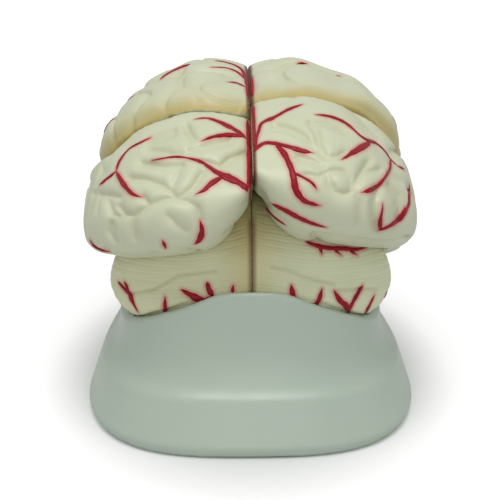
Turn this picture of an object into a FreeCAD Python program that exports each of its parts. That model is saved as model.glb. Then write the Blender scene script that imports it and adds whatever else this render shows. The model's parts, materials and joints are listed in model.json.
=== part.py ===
import FreeCAD, Part
import math
import os

from FreeCAD import Vector

# Brain anatomy model that comes apart, on a hollow moulded base.
# +X is the model's own right, +Y its front, +Z up. Z = 0 is the face that the base stands on,
# and X = Y = 0 is the middle of the base. Lengths are in millimetres, angles in degrees.

doc = FreeCAD.newDocument("brain_model")
sheet = doc.addObject("Spreadsheet::Sheet", "sizes")

drivingSizes = {
    "baseLength": 170,
    "baseWidth": 137,
    "frontNarrowing": 0.2,
    "baseWall": 3,
    "skirtHeight": 22,
    "skirtLean": 6,
    "wallInset": 8.5,
    "floorHeight": 30,
    "floorThickness": 3,
    "rimSideHeight": 40.5,
    "rimBackHeight": 63.2,
    "postRadius": 14,
    "postHeight": 8,
    "brainLength": 163,
    "brainWidth": 136,
    "crownHeight": 48,
    "bellyDepth": 34.5,
    "rimClearance": 9,
    "middleGap": 0.6,
    "edgeRound": 1.6,
    "sideSag": 11,
    "widestPlace": 22,
    "seamGap": 1,
    "seamStepLeft": 4.5,
    "seamStepRight": 2.2,
    "seamRoundLeft": 5.5,
    "seamRoundRight": 4,
    "seamShiftLeft": 4,
    "seamShiftRight": 12,
    "rearDropLeft": 4,
    "rearDropRight": -2.5,
    "sulcusDepth": 1.9,
    "cerebellumLength": 57,
    "cerebellumWidth": 113,
    "cerebellumHeight": 58,
    "cerebellumClearance": 1.5,
    "lobeClearance": 1,
    "stemWidth": 30,
    "stemLength": 27,
    "thalamusWidth": 40,
    "thalamusLength": 40,
    "thalamusHeight": 28,
    "seatClearance": 0.3,
    "pinClearance": 0.06,
    "standPinRadius": 2.5,
    "standPinLength": 22,
    "standPinSpacing": 11,
    "lobePinRadius": 2,
    "lobePinLength": 20,
    "lobePinSpacing": 16,
    "sidePinRadius": 2,
    "sidePinLength": 22,
    "sidePinSpacing": 12,
    "peduncleRadius": 1.5,
    "peduncleLength": 14,
    "arteryWidth": 2.4,
    "arteryRise": 0.9,
    "arteryClearance": 0.5,
}
for row, (alias, value) in enumerate(drivingSizes.items(), start=1):
    sheet.set("A%d" % row, alias)
    sheet.set("B%d" % row, str(value))
    sheet.setAlias("B%d" % row, alias)
doc.recompute()


def size(alias):
    return float(sheet.get(alias))


# Heights and places that follow from the driving sizes
gapHalf = size("middleGap") / 2
brainLevel = size("rimSideHeight") + size("rimClearance") + size("bellyDepth")
rimInset = size("skirtLean") + size("wallInset")
rimHalfLength = size("baseLength") / 2 - rimInset
rimHalfWidth = size("baseWidth") / 2 - rimInset
seatHeight = size("floorHeight") + size("postHeight") + size("seatClearance")


def smooth(low, high, value):
    share = min(1, max(0, (value - low) / (high - low)))
    return share * share * (3 - 2 * share)


# Skinned solids: rings of poles from one flat end to the other
def skinSurface(rings):
    rows = len(rings)
    around = len(rings[0])
    along = [float(knot) for knot in range(rows - 2)]
    across = [float(knot) for knot in range(around + 1)]
    surface = Part.BSplineSurface()
    surface.buildFromPolesMultsKnots(
        rings, [4] + [1] * (rows - 4) + [4], [1] * (around + 1), along, across, False, True, 3, 3)
    return surface


def skinSolid(rings):
    surface = skinSurface(rings)
    last = float(len(rings) - 3)
    ends = [Part.Face(Part.Wire([surface.uIso(knot).toShape()])) for knot in (0.0, last)]
    shell = Part.makeShell([surface.toShape()] + ends)
    shell.sewShape()
    if shell.ShapeType != "Shell":
        shell = shell.Shells[0]
    solid = Part.makeSolid(shell)
    if solid.Volume < 0:
        solid.reverse()
    return solid


def ringOf(middle, sideways, outward, around=8):
    ring = []
    for step in range(around):
        turn = 2 * math.pi * step / around
        ring.append(middle + sideways * math.cos(turn) + outward * math.sin(turn))
    return ring


def closedCurve(points):
    curve = Part.BSplineCurve()
    curve.interpolate([Vector(0, y, z) for y, z in points], PeriodicFlag=True)
    return curve


def curvePoints(points, count):
    curve = closedCurve(points)
    first = curve.FirstParameter
    span = curve.LastParameter - first
    return [curve.value(first + span * step / count) for step in range(count)]


sagPower = 1.2
middleSwell = 2.2
edgePlaces = (0.3, 0.8, 1.5)
lastTurn = math.pi / 2 - 0.03


def halfRings(form, side, firstX, relief=None):
    """Half of an organ: flat at firstX, swelling to form["widest"], closing at form["outerX"].

    form["middle"] is its outline at the flat face, form["full"] the outline where it is widest,
    both as (y, z) points in the same order, and form["pole"] is the (y, z) that the rings close on.
    """
    count = form["around"]
    full = curvePoints(form["full"], count)
    middle = curvePoints(form["middle"], count)
    poleY, poleZ = form["pole"]
    widest = form["widest"]
    reach = form["outerX"] - widest
    innerPlaces = [firstX + (widest - firstX) * step / form["inner"] for step in range(form["inner"])]
    if form["edgeRound"]:
        innerPlaces[1:1] = [firstX + away for away in edgePlaces]
    sections = []
    for x in innerPlaces:
        rounded = form["edgeRound"] * math.exp(firstX - x)
        sections.append((x, 1 - rounded, ((widest - x) / (widest - gapHalf)) ** middleSwell, 0))
    for step in range(form["outer"]):
        turn = lastTurn * step / (form["outer"] - 1)
        sag = form["sag"] * math.sin(turn) ** sagPower
        sections.append((widest + reach * math.sin(turn), math.cos(turn) ** (2 / form["power"]), 0, sag))
    rings = []
    lastShare = sections[-1][1]
    for x, share, inward, sag in sections:
        ring = []
        for fullPoint, middlePoint in zip(full, middle):
            y = fullPoint.y + (middlePoint.y - fullPoint.y) * inward
            z = fullPoint.z + (middlePoint.z - fullPoint.z) * inward
            y = poleY + (y - poleY) * share
            narrow = 1
            if share > lastShare:
                narrow -= form["frontTaper"] * smooth(0, size("brainLength") / 1.6, y - poleY)
            z = poleZ + (z - poleZ) * share - sag
            ring.append(Vector(side * (firstX + (x - firstX) * narrow), y, z))
        rings.append(ring)
    if relief is None:
        return rings
    carved = [rings[0]]
    for row in range(1, len(rings) - 1):
        ring = []
        for place in range(count):
            point = rings[row][place]
            along = rings[row + 1][place] - rings[row - 1][place]
            across = rings[row][(place + 1) % count] - rings[row][place - 1]
            outward = across.cross(along) * side
            outward.normalize()
            lift = relief(side, point, outward) * min(1, row / 3, (len(rings) - 1 - row) / 6)
            ring.append(point + outward * lift)
        carved.append(ring)
    carved.append(rings[-1])
    return carved


def halfForm(form, side, firstX, relief=None):
    return skinSolid(halfRings(form, side, firstX, relief))


# The view that the grooves and arteries were read in: pixels of a 500 by 500 picture
viewElevation = math.radians(20)
viewDistance = 700
viewFocal = 1652
viewHeight = 55.35
viewColumn = 253
viewRow = 250
viewBack = Vector(0, -math.cos(viewElevation), math.sin(viewElevation))
viewUp = Vector(0, math.sin(viewElevation), math.cos(viewElevation))


def picturePlace(point):
    offset = point - Vector(0, 0, viewHeight)
    scale = viewFocal / (viewDistance - offset.dot(viewBack))
    return viewColumn + scale * point.x, viewRow - scale * offset.dot(viewUp)


def towardsView(point, outward):
    ray = viewBack * viewDistance + Vector(0, 0, viewHeight) - point
    return outward.dot(ray) / ray.Length


# Grooves of the rear lobes as they lie in that view, by side: depth share, then pixels
rearGrooves = {
    -1: [
        (0.8, (152, 139), (164, 134), (176, 130)),
        (1.0, (188, 125), (191, 131), (196, 138)),
        (0.9, (192, 149), (215, 143), (233, 140)),
        (1.0, (206, 160), (221, 166), (232, 157), (249, 152)),
        (1.0, (143, 162), (162, 165), (182, 164)),
        (0.9, (130, 177), (146, 178), (161, 183), (171, 190)),
        (1.0, (171, 190), (177, 198), (184, 193), (193, 187), (203, 172)),
        (0.7, (179, 171), (173, 184)),
        (1.0, (143, 196), (149, 203), (141, 210), (134, 215)),
        (0.9, (119, 205), (125, 213), (134, 215)),
        (0.9, (150, 203), (168, 197), (186, 200), (198, 207), (201, 220)),
        (0.7, (168, 215), (177, 224), (186, 230)),
        (0.9, (112, 222), (110, 231), (115, 240)),
        (0.8, (134, 215), (133, 228), (135, 238)),
        (0.8, (110, 201), (113, 213), (119, 215)),
        (0.8, (94, 192), (109, 194), (120, 196)),
        (0.8, (103, 154), (105, 172)),
        (0.7, (150, 149), (162, 150), (174, 153), (189, 152)),
    ],
    1: [
        (1.0, (276, 125), (289, 127), (304, 134), (313, 145), (327, 157)),
        (1.0, (312, 122), (319, 132), (320, 144), (328, 157)),
        (0.8, (328, 157), (339, 156), (347, 152)),
        (0.8, (313, 122), (330, 123), (341, 127), (348, 131)),
        (1.0, (298, 156), (313, 160), (324, 166)),
        (0.9, (306, 174), (320, 176), (329, 171), (337, 170)),
        (1.0, (328, 173), (330, 183), (337, 192), (345, 194), (353, 191)),
        (0.9, (353, 191), (351, 179), (344, 171), (337, 170)),
        (0.7, (356, 185), (358, 197), (361, 204), (360, 214), (358, 226)),
        (0.9, (370, 162), (360, 177), (355, 185)),
        (0.7, (369, 171), (382, 170)),
        (1.0, (380, 188), (376, 202), (375, 220), (378, 231)),
        (0.9, (391, 185), (400, 197), (403, 208), (400, 220)),
        (0.8, (393, 173), (403, 181), (411, 185)),
        (0.6, (353, 107), (360, 115), (376, 132), (382, 138)),
    ],
}


def pixelDistance(column, row, path):
    nearest = 1e9
    for (startX, startY), (endX, endY) in zip(path, path[1:]):
        runX, runY = endX - startX, endY - startY
        share = ((column - startX) * runX + (row - startY) * runY) / (runX * runX + runY * runY)
        share = min(1, max(0, share))
        nearest = min(nearest, math.hypot(column - startX - share * runX, row - startY - share * runY))
    return nearest


# Winding grooves where the view doesn't reach: the places where seven slanting waves cancel out
waveLength = 25
waveCount = 7
windingShift = 9
grooveWidth = 0.85
pixelsAcross = 4.2


def windingGroove(point):
    total = 0
    for wave in range(waveCount):
        lean = 1.3 * wave + 0.5
        turn = 2.4 * wave
        heading = Vector(math.cos(turn) * math.sin(lean), math.sin(turn) * math.sin(lean), math.cos(lean))
        total += math.sin(2 * math.pi * point.dot(heading) / waveLength + 1.7 * wave)
    return math.exp(-(total / grooveWidth) ** 2)


shoulderReach = 1.05


def frontRelief(side, point, outward):
    shifted = point + Vector(side * windingShift, 0, 0)
    offSeam = pixelDistance(point.y, point.z, seamPlaces(side))
    deep = size("seamRoundLeft") if side < 0 else size("seamRoundRight")
    shoulder = math.exp(-(offSeam / (shoulderReach * deep)) ** 2) if deep > 0 else 0
    return -size("sulcusDepth") * windingGroove(shifted) * (1 - shoulder) - deep * shoulder


def rearRelief(side, point, outward):
    seen = smooth(0.1, 0.4, towardsView(point, outward)) * smooth(-6, -20, point.y)
    hidden = windingGroove(point + Vector(side * windingShift, 0, 0))
    groove = 0
    if seen > 0:
        column, row = picturePlace(point)
        for depth, *path in rearGrooves[side]:
            distance = pixelDistance(column, row, path)
            groove = max(groove, depth * math.exp(-(distance / pixelsAcross) ** 2))
    return -size("sulcusDepth") * (seen * groove + (1 - seen) * hidden)


# Cerebrum: outlines drawn for a brain 163 long, 53 above its level and 34.5 below it
drawnLength = 163
drawnCrown = 53
drawnBelly = 34.5
drawnLevel = 84


def brainPlace(y, z):
    stretch = size("brainLength") / drawnLength
    if z > drawnLevel:
        return y * stretch, brainLevel + (z - drawnLevel) * size("crownHeight") / drawnCrown
    return y * stretch, brainLevel + (z - drawnLevel) * size("bellyDepth") / drawnBelly


fullOutline = [
    (-80, 104), (-77, 91), (-68, 83), (-50, 75), (-28, 65), (0, 54), (20, 49.5), (38, 52),
    (47, 61), (54, 69.5), (66, 72), (78, 80), (83, 95), (79, 112), (62, 126), (35, 135),
    (5, 137), (-25, 134), (-50, 127), (-70, 117),
]
middleOutline = [
    (-74, 113), (-68, 108), (-60, 103), (-45, 98), (-28, 88), (0, 76), (20, 70), (36, 68),
    (45, 70), (54, 74), (65, 77), (75, 85), (79, 97), (75.5, 110), (60, 122.5), (34, 131.5),
    (5, 133), (-25, 130), (-49, 123.5), (-66, 118),
]
steppedPlaces = {15: 0.3, 16: 1.0, 17: 1.0, 18: 0.5}
droppedPlaces = {17: 0.2, 18: 0.6, 19: 1.0, 0: 1.0, 1: 1.0, 2: 0.9, 3: 0.4}


def cerebrumForm(step, drop):
    """The whole half; step lowers it behind the seam, and drop its rear pole."""
    outlines = []
    for drawn in (fullOutline, middleOutline):
        outline = []
        for place, (y, z) in enumerate(drawn):
            lower = step * steppedPlaces.get(place, 0) + drop * droppedPlaces.get(place, 0)
            placeY, placeZ = brainPlace(y, z)
            outline.append((placeY, placeZ - lower))
        outlines.append(outline)
    return {
        "full": outlines[0],
        "middle": outlines[1],
        "pole": brainPlace(-10, drawnLevel),
        "widest": size("widestPlace"),
        "outerX": size("brainWidth") / 2,
        "power": 2.6,
        "frontTaper": 0.2,
        "edgeRound": 2 * size("edgeRound") / size("brainLength"),
        "sag": size("sideSag"),
        "around": 150,
        "inner": 13,
        "outer": 48,
    }


# The seam between the front and the rear section, seen from the side
seamDrawn = [(-33, 142), (-31, 129), (-26, 116), (-14, 101), (2, 91), (20, 85), (45, 76), (58, 66), (74, 44)]


def seamPlaces(side):
    slide = size("seamShiftLeft") if side < 0 else size("seamShiftRight")
    places = []
    for y, z in seamDrawn:
        placeY, placeZ = brainPlace(y, z)
        places.append((placeY + slide * smooth(95, 118, z), placeZ))
    return places


def seamSide(side, shift):
    """Everything in front of and above the seam, moved by shift along y and z."""
    points = [Vector(-5, y + shift, z + shift) for y, z in seamPlaces(side)]
    curve = Part.BSplineCurve()
    curve.interpolate(points)
    beyond = size("brainLength")
    top = brainLevel + 2 * size("crownHeight")
    corners = [points[-1], Vector(-5, beyond, points[-1].z), Vector(-5, beyond, top),
               Vector(-5, points[0].y, top), points[0]]
    edges = [curve.toShape()] + [Part.makeLine(start, end) for start, end in zip(corners, corners[1:])]
    reach = Vector(size("brainWidth"), 0, 0)
    prism = Part.Face(Part.Wire(edges)).extrude(reach)
    if side < 0:
        prism = prism.mirror(Vector(0, 0, 0), Vector(1, 0, 0))
    return prism


# Cerebellum: its outline at the middle, drawn about its own centre for 57 by 58
cerebellumOutline = [
    (-28.5, 2), (-27, -13), (-17, -22), (2, -24), (17, -20), (27, -7), (28.5, 9), (21, 22),
    (7, 31.5), (-6, 34), (-18, 28), (-26, 16),
]
cerebellumBack = -(rimHalfLength - size("baseWall") - size("cerebellumClearance"))
cerebellumMiddle = cerebellumBack + size("cerebellumLength") / 2
cerebellumLevel = seatHeight + 22


def cerebellumForm(margin):
    stretchY = size("cerebellumLength") / 57
    stretchZ = size("cerebellumHeight") / 58
    outline = []
    for y, z in cerebellumOutline:
        away = Vector(0, y * stretchY, z * stretchZ)
        away = away + away * (margin / away.Length)
        outline.append((cerebellumMiddle + away.y, cerebellumLevel + away.z))
    return {
        "full": outline,
        "middle": outline,
        "pole": (cerebellumMiddle + 1, cerebellumLevel - 4),
        "widest": gapHalf + 3,
        "outerX": size("cerebellumWidth") / 2 + margin,
        "power": 1.95,
        "frontTaper": 0,
        "edgeRound": 0,
        "sag": 0,
        "around": 72,
        "inner": 2,
        "outer": 40,
    }


foliaPitch = 3.6
foliaDepth = 0.12


def cerebellumRelief(side, point, outward):
    """Level folia, closer than they are deep, and the fissure that parts them."""
    height = point.z + 0.12 * abs(point.x) + 0.1 * point.y
    return foliaDepth * (math.cos(2 * math.pi * height / foliaPitch) - 1)


# Brain stem: upper part (thalamus), then midbrain, pons and medulla down to its seat
thalamusLevel = brainLevel + 4
stemLevel = seatHeight + 21.7


def ovalForm(centreY, centreZ, halfY, halfZ, halfX, power, around, outer):
    outline = []
    for step in range(8):
        turn = math.pi + step * math.pi / 4
        outline.append((centreY + halfY * math.cos(turn), centreZ + halfZ * math.sin(turn)))
    return {
        "full": outline, "middle": outline, "pole": (centreY, centreZ),
        "widest": gapHalf + 1, "outerX": halfX, "power": power,
        "frontTaper": 0, "edgeRound": 0, "sag": 0, "around": around, "inner": 2, "outer": outer,
    }


stemOutline = [
    (-9.5, 22), (-8.5, 10), (-9.5, -4), (-11, -16), (-11, -27), (-1, -29), (4, -14), (10, -6),
    (13, 2), (11, 11), (5, 18), (4, 26), (-3, 30),
]


def stemForm():
    stretchY = size("stemLength") / 27
    outline = [(stemMiddle + y * stretchY, stemLevel + z) for y, z in stemOutline]
    return {
        "full": outline, "middle": outline, "pole": (stemMiddle, stemLevel),
        "widest": gapHalf + 1, "outerX": size("stemWidth") / 2, "power": 2.6,
        "frontTaper": 0, "edgeRound": 0, "sag": 0, "around": 48, "inner": 2, "outer": 20,
    }


stemMiddle = cerebellumBack + size("cerebellumLength") + 13
thalamusMiddle = stemMiddle + 4
coreClearance = size("lobeClearance")


def coreRoom(side):
    """Room that the front section needs over the thalamus, open below so that it lifts off."""
    halfX = size("thalamusWidth") / 2 + coreClearance
    halfY = size("thalamusLength") / 2 + coreClearance
    halfZ = size("thalamusHeight") / 2 + coreClearance
    dome = halfForm(ovalForm(thalamusMiddle, thalamusLevel, halfY, halfZ, halfX, 2.3, 40, 16), side, 0)
    oval = Part.Ellipse(Vector(0, thalamusMiddle, 0), max(halfX, halfY) + 0.4, min(halfX, halfY) + 0.4)
    if halfY > halfX:
        oval.rotate(FreeCAD.Placement(Vector(0, thalamusMiddle, 0), Vector(0, 0, 1), 90))
    column = Part.Face(Part.Wire([oval.toShape()])).extrude(Vector(0, 0, thalamusLevel))
    return dome.fuse(column)


def sideRoom(side):
    """Room that the rear section needs beside the stem, open towards the middle."""
    width = size("thalamusWidth") / 2 + coreClearance
    back = thalamusMiddle - size("thalamusLength") / 2 - coreClearance
    top = thalamusLevel + size("thalamusHeight") / 2 + coreClearance
    room = Part.makeBox(width, size("brainLength"), top, Vector(0, back, 0))
    if side < 0:
        room = room.mirror(Vector(0, 0, 0), Vector(1, 0, 0))
    return room


# Arteries, by side and region: the view they are drawn in, their widest share, then their way.
# "picture" is in pixels of the view above, "beside" in (y, z) seen from the side.
arteries = {
    -1: {
        "front": [
            ("picture", 0.7, [(168, 78), (178, 72), (190, 68), (203, 66)]),
            ("picture", 0.5, [(214, 62), (229, 63), (241, 69), (247, 79)]),
            ("beside", 1.0, [(46, 84), (38, 92), (30, 104), (22, 116)]),
            ("beside", 0.9, [(27, 92), (14, 100), (4, 112), (-3, 124)]),
            ("beside", 0.7, [(55, 84), (62, 94), (64, 108)]),
        ],
        "rear": [
            ("picture", 1.0, [(152, 137), (141, 142), (131, 149), (122, 160), (118, 170)]),
            ("picture", 0.9, [(117, 173), (112, 176), (107, 179), (102, 182)]),
            ("picture", 0.7, [(119, 174), (125, 183), (133, 192), (143, 197)]),
            ("picture", 1.0, [(153, 160), (162, 158), (176, 155), (186, 158), (195, 158), (204, 162),
                              (216, 171), (223, 175), (232, 179), (240, 184)]),
            ("picture", 0.8, [(219, 178), (211, 183), (203, 190), (196, 194)]),
            ("picture", 0.9, [(198, 119), (207, 118), (221, 122), (232, 127), (241, 133)]),
            ("picture", 0.7, [(202, 141), (213, 136), (227, 134), (241, 137)]),
            ("picture", 0.8, [(200, 220), (202, 228), (201, 238), (197, 244)]),
            ("picture", 0.6, [(163, 240), (165, 247)]),
            ("beside", 0.9, [(34, 71), (18, 69), (2, 73), (-12, 80)]),
        ],
        "cerebellum": [
            ("picture", 0.8, [(126, 284), (131, 292), (134, 300)]),
            ("picture", 0.6, [(166, 292), (165, 302)]),
            ("picture", 0.9, [(182, 286), (188, 290), (194, 293)]),
            ("picture", 0.7, [(208, 277), (210, 283), (210, 288)]),
        ],
    },
    1: {
        "front": [
            ("picture", 0.5, [(258, 70), (263, 66), (272, 63)]),
            ("beside", 1.0, [(46, 84), (38, 92), (30, 104), (22, 116)]),
            ("beside", 0.9, [(27, 92), (14, 100), (4, 112), (-3, 122)]),
            ("beside", 0.7, [(55, 84), (62, 94), (64, 108)]),
        ],
        "rear": [
            ("picture", 0.9, [(304, 106), (288, 110), (275, 117), (264, 124), (260, 131)]),
            ("picture", 1.0, [(317, 115), (332, 116), (345, 121), (357, 130), (371, 141), (379, 143),
                              (387, 150), (393, 159)]),
            ("picture", 0.9, [(368, 145), (357, 151), (343, 160)]),
            ("picture", 0.8, [(391, 163), (390, 171), (383, 182), (372, 189), (364, 193)]),
            ("picture", 0.9, [(260, 149), (266, 143), (277, 143), (289, 146), (302, 149), (316, 153)]),
            ("picture", 1.0, [(281, 148), (287, 155), (291, 166), (294, 177), (296, 190), (303, 198),
                              (310, 202), (321, 206)]),
            ("picture", 0.6, [(297, 174), (303, 177), (310, 182), (317, 190)]),
            ("picture", 0.9, [(257, 184), (259, 192), (265, 200), (272, 207)]),
            ("picture", 0.8, [(272, 202), (283, 206), (300, 213), (313, 219), (326, 225)]),
            ("picture", 0.9, [(409, 203), (405, 214), (397, 223), (387, 229), (378, 231)]),
            ("picture", 0.6, [(383, 205), (383, 213), (382, 225)]),
            ("beside", 0.9, [(34, 71), (18, 69), (2, 73), (-12, 80)]),
        ],
        "cerebellum": [
            ("picture", 0.8, [(292, 282), (294, 289), (296, 295)]),
            ("picture", 0.8, [(323, 288), (320, 296), (316, 301)]),
            ("picture", 0.8, [(335, 288), (339, 296), (344, 302)]),
            ("picture", 0.7, [(363, 286), (360, 293), (356, 300)]),
            ("picture", 0.7, [(376, 288), (373, 295), (371, 301)]),
        ],
    },
}


def drawnPlace(look, point):
    return picturePlace(point) if look == "picture" else (point.y, point.z)


def alongPath(path, pitch):
    """Places about a pitch apart along a drawn path, never fewer than four."""
    lengths = [math.dist(start, end) for start, end in zip(path, path[1:])]
    count = max(4, round(sum(lengths) / pitch) + 1)
    places = []
    for step in range(count):
        left = sum(lengths) * step / (count - 1)
        index = 0
        while left > lengths[index] and index < len(lengths) - 1:
            left -= lengths[index]
            index += 1
        (startX, startY), (endX, endY) = path[index], path[index + 1]
        share = left / lengths[index]
        places.append((startX + (endX - startX) * share, startY + (endY - startY) * share))
    return places


leastFacing = 0.15


def nearestStart(surface, side, look, target):
    """The surface's parameters where it is drawn closest to target, on the face that shows."""
    firstU, lastU, firstV, lastV = surface.bounds()
    nearest = None
    for u in range(1, int(lastU)):
        for v in range(int(lastV)):
            point = surface.value(u, v)
            outward = surface.normal(u, v) * -side
            facing = towardsView(point, outward) if look == "picture" else outward.x * side
            shows = facing > leastFacing
            distance = math.dist(drawnPlace(look, point), target)
            if shows and (nearest is None or distance < nearest[0]):
                nearest = (distance, float(u), float(v))
    return nearest[1:]


nudge = 0.02
longestMove = 1.5
tries = 14
pitches = {"picture": 3.5, "beside": 2}


def surfaceMove(surface, look, u, v, target):
    """The step in the surface's parameters that brings its drawn place nearer to target."""
    across, down = drawnPlace(look, surface.value(u, v))
    acrossU, downU = drawnPlace(look, surface.value(u + nudge, v))
    acrossV, downV = drawnPlace(look, surface.value(u, v + nudge))
    slopeU = ((acrossU - across) / nudge, (downU - down) / nudge)
    slopeV = ((acrossV - across) / nudge, (downV - down) / nudge)
    turned = slopeU[0] * slopeV[1] - slopeV[0] * slopeU[1]
    if abs(turned) < nudge * nudge:
        return 0, 0
    missAcross, missDown = target[0] - across, target[1] - down
    moveU = (missAcross * slopeV[1] - slopeV[0] * missDown) / turned
    moveV = (slopeU[0] * missDown - missAcross * slopeU[1]) / turned
    shorten = max(1, abs(moveU) / longestMove, abs(moveV) / longestMove)
    return moveU / shorten, moveV / shorten


def surfacePath(surface, side, look, path):
    """Points on the surface under a drawn path, each with the direction outwards."""
    drawn = alongPath(path, pitches[look])
    firstU, lastU, firstV, lastV = surface.bounds()
    u, v = nearestStart(surface, side, look, drawn[0])
    places = []
    for target in drawn:
        for attempt in range(tries):
            moveU, moveV = surfaceMove(surface, look, u, v, target)
            u = min(lastU - 1, max(1, u + moveU))
            v = (v + moveV) % lastV
        places.append((surface.value(u, v), surface.normal(u, v) * -side))
    return places


def arteryTube(surface, side, look, width, path):
    """A low rounded solid along the path, wide in its first half and thin at its ends."""
    places = surfacePath(surface, side, look, path)
    rings = []
    for index, (point, outward) in enumerate(places):
        before = places[max(0, index - 1)][0]
        after = places[min(len(places) - 1, index + 1)][0]
        sideways = (after - before).cross(outward).normalize()
        share = index / (len(places) - 1)
        taper = min(1, 0.35 + 2.6 * share, 0.3 + 1.6 * (1 - share))
        halfWidth = size("arteryWidth") / 2 * width * taper
        halfRise = size("arteryRise") / 4 * (1 + taper)
        middle = point + outward * (size("arteryClearance") + halfRise)
        rings.append(ringOf(middle, sideways * halfWidth, outward * halfRise))
    return skinSolid(rings)


# Document helpers
pieces = []


def addShape(name, shape):
    feature = doc.addObject("Part::Feature", name)
    feature.Shape = shape
    feature.Placement = FreeCAD.Placement()
    return feature


def addPiece(feature, label):
    feature.Label = label
    pieces.append(feature)
    return feature


def addRod(name, radius, length, place, turn=None):
    """A round pin or hole whose radius and length follow the sheet."""
    rod = doc.addObject("Part::Cylinder", name)
    rod.setExpression("Radius", radius)
    rod.setExpression("Height", length)
    rod.Placement = FreeCAD.Placement(place, turn or FreeCAD.Rotation())
    return rod


def addGroup(name, links):
    group = doc.addObject("Part::Compound", name)
    group.Links = links
    return group


def addCut(name, base, tool):
    cut = doc.addObject("Part::Cut", name)
    cut.Base = base
    cut.Tool = tool
    return cut


sides = {"left": -1, "right": 1}


# Base: flared wall, wavy rim, floor inside, open underneath
footRound = 4
footInset = 1.5


def baseInset(height):
    """How far the wall stands in from its widest outline, just above the rounded foot."""
    if height <= footRound:
        return footInset * (1 - smooth(0, footRound, height))
    if height <= size("skirtHeight"):
        return size("skirtLean") * (height - footRound) / (size("skirtHeight") - footRound)
    rise = height - size("skirtHeight")
    return size("skirtLean") + size("wallInset") * (1 - math.exp(-rise / wallCurl))


basePower = 3.1
narrowFrom = -0.235
wallCurl = 6


def baseRing(height, inset, around=96):
    """Outline at a height: a rounded oblong, wide at the back and narrower in front."""
    halfX = size("baseWidth") / 2 - baseInset(height) - inset
    halfY = size("baseLength") / 2 - baseInset(height) - inset
    ring = []
    for step in range(around):
        turn = 2 * math.pi * step / around
        share = abs(math.cos(turn) / halfX) ** basePower + abs(math.sin(turn) / halfY) ** basePower
        radius = share ** (-1 / basePower)
        y = radius * math.sin(turn)
        forward = smooth(narrowFrom * size("baseLength"), size("baseLength") / 2, y)
        ring.append(Vector(radius * math.cos(turn) * (1 - size("frontNarrowing") * forward), y, height))
    return ring


heightShares = (0.04, 0.09, 0.16, 0.21, 0.3, 0.5, 0.7, 0.85, 0.93, 0.98, 1.02, 1.07, 1.15, 1.25, 1.4, 1.6,
                1.85, 2.2, 2.6)


def baseHeights(low, high):
    marks = [low, high]
    for share in heightShares:
        height = share * size("skirtHeight")
        if low + 0.4 < height < high - 0.4:
            marks.append(height)
    return sorted(marks)


rimWave = [(0, 1), (0.15, 0.985), (0.27, 0.93), (0.365, 0.83), (0.45, 0.73), (0.625, 0.53),
           (0.77, 0.33), (0.875, 0.16), (0.985, 0.02), (1.15, 0)]


def rimCutter(above=0):
    """What lies above the wavy rim at the back, and above the level rim at the sides and front."""
    rise = size("rimBackHeight") - size("rimSideHeight")
    sideLevel = size("rimSideHeight") + above
    half = [Vector(share * rimHalfWidth, 0, sideLevel + lift * rise) for share, lift in rimWave]
    points = [Vector(-point.x, 0, point.z) for point in reversed(half[1:])] + half
    curve = Part.BSplineCurve()
    curve.interpolate(points)
    top = size("rimBackHeight") + 20
    corners = [points[-1], Vector(points[-1].x, 0, top), Vector(points[0].x, 0, top), points[0]]
    edges = [curve.toShape()] + [Part.makeLine(start, end) for start, end in zip(corners, corners[1:])]
    wave = Part.Face(Part.Wire(edges)).extrude(Vector(0, -size("baseLength"), 0))
    front = Part.makeBox(size("baseWidth"), size("baseLength"), top,
                         Vector(-size("baseWidth") / 2, -0.1, sideLevel))
    return wave.fuse(front)


outerShape = skinSolid([baseRing(height, 0) for height in baseHeights(0, size("rimBackHeight") + 4)])
upperShape = skinSolid([baseRing(height, size("baseWall"))
                        for height in baseHeights(size("floorHeight"), size("rimBackHeight") + 8)])
underHeight = size("floorHeight") - size("floorThickness")
lowerShape = skinSolid([baseRing(max(height, 0), size("baseWall")) if height >= 0 else
                        [point - Vector(0, 0, 1) for point in baseRing(0, size("baseWall"))]
                        for height in [-1] + baseHeights(0, underHeight)])
wallHeights = baseHeights(size("floorHeight") - 2, size("rimBackHeight") + 8)
wallRoom = skinSolid([baseRing(height, -size("cerebellumClearance")) for height in wallHeights])
wallRoom = wallRoom.cut(skinSolid([baseRing(height, size("baseWall") + size("cerebellumClearance"))
                                   for height in [wallHeights[0] - 2] + wallHeights + [wallHeights[-1] + 2]]))
wallRoom = wallRoom.cut(rimCutter(size("cerebellumClearance")))
baseOuter = addShape("base_outer", outerShape)
baseRooms = addGroup("base_rooms", [addShape("rim_waste", rimCutter()), addShape("bowl", upperShape),
                                    addShape("underside", lowerShape)])
baseShell = addCut("base_shell", baseOuter, baseRooms)

basePost = doc.addObject("Part::Cylinder", "base_post")
basePost.setExpression("Radius", "sizes.postRadius")
basePost.setExpression("Height", "sizes.postHeight + sizes.floorThickness / 2")
postMiddle = stemMiddle - 5.5
basePost.Placement = FreeCAD.Placement(
    Vector(0, postMiddle, size("floorHeight") - size("floorThickness") / 2), FreeCAD.Rotation())
baseBody = doc.addObject("Part::Fuse", "base_body")
baseBody.Base = baseShell
baseBody.Tool = basePost

pinFoot = size("floorHeight") + 1
standPins = []
standHoles = []
pinHoles = {}
for name, side in sides.items():
    place = Vector(side * size("standPinSpacing") / 2, postMiddle, pinFoot)
    standPins.append(addRod(name + "_stand_pin", "sizes.standPinRadius", "sizes.standPinLength", place))
    standHoles.append(addRod(name + "_post_hole", "sizes.standPinRadius", "sizes.standPinLength", place))
    pinHoles[name] = [addRod(name + "_stand_hole", "sizes.standPinRadius + sizes.pinClearance",
                             "sizes.standPinLength + 1", place)]
addPiece(addCut("base_cut", baseBody, addGroup("post_holes", standHoles)), "base")
addPiece(addGroup("stand_pins_group", standPins), "stand_pins")

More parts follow.
